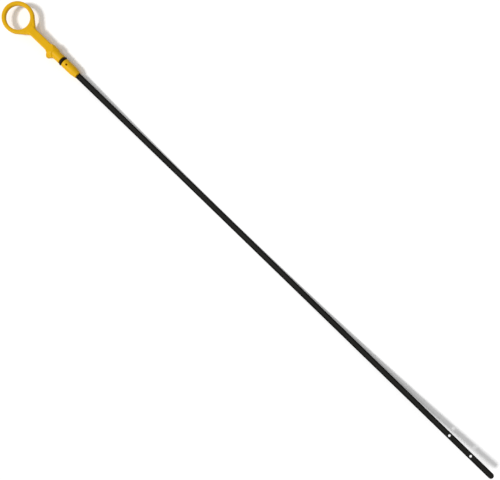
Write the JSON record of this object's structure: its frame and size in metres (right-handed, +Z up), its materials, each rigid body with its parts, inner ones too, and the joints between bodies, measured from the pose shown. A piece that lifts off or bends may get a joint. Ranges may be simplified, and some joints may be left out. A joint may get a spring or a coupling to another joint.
{
  "type": "engine oil dipstick",
  "caption": "Engine oil dipstick: moulded finger-ring handle with a sealing plug and O-ring, on a long bowed flat steel strip with level holes near its rounded tip.",
  "frame": {"origin": "on the plug's axis at the seat, the plane where the collar's back closes onto the plug and the tube's mouth stops it, from which the oil levels are counted", "axes": "+X runs along the dipstick towards the tip of the strip, level with the surface it lies on; +Z is up; the ring and the flat of the strip face up; the lug points to -Y"},
  "size_m": [0.583, 0.028, 0.0146],
  "materials": {
    "yellow_plastic": "injection-moulded yellow plastic, satin to semi-gloss, fine moulded texture",
    "black_rubber": "matte black nitrile rubber",
    "blackened_steel": "black-finished rolled steel strip, satin, slightly paler along the middle of the flat"
  },
  "bodies": {
    "root": {"handle": "yellow_plastic", "o_ring": "black_rubber", "blade": "blackened_steel"}
  },
  "joints": []
}
